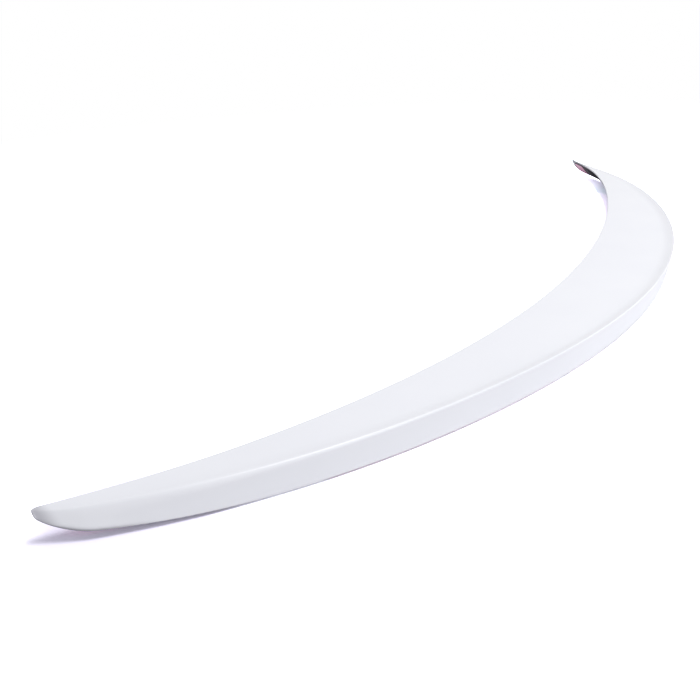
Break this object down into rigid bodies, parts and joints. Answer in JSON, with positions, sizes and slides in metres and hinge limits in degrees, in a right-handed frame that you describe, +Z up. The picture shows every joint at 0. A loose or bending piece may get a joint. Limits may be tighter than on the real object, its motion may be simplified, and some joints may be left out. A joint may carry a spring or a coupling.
{
  "type": "car rear spoiler",
  "caption": "Crescent-shaped boot-lid lip spoiler, a hollow moulding with foam tape and release liners under its edges.",
  "frame": {"origin": "middle of the part's outline on the plane that it stands on, under the rear foot", "axes": "+X across the car from tip to tip, +Y toward the front of the car, so the raised lip faces -Y, +Z up"},
  "size_m": [1.1192, 0.2474, 0.026],
  "materials": {
    "shell": "satin",
    "foam_tape": "matte",
    "release_liner": "satin"
  },
  "bodies": {
    "root": {"spoiler_shell": "shell", "rear_tape_1": "foam_tape", "rear_tape_2": "foam_tape", "rear_tape_3": "foam_tape", "rear_tape_4": "foam_tape", "rear_liner_1": "release_liner", "rear_liner_2": "release_liner", "rear_liner_3": "release_liner", "rear_liner_4": "release_liner", "front_tape_1": "foam_tape", "front_tape_2": "foam_tape", "front_tape_3": "foam_tape", "front_tape_4": "foam_tape", "front_liner_1": "release_liner", "front_liner_2": "release_liner", "front_liner_3": "release_liner", "front_liner_4": "release_liner", "left_tip_tape": "foam_tape", "right_tip_tape": "foam_tape", "left_tip_liner": "release_liner", "right_tip_liner": "release_liner"}
  },
  "joints": []
}
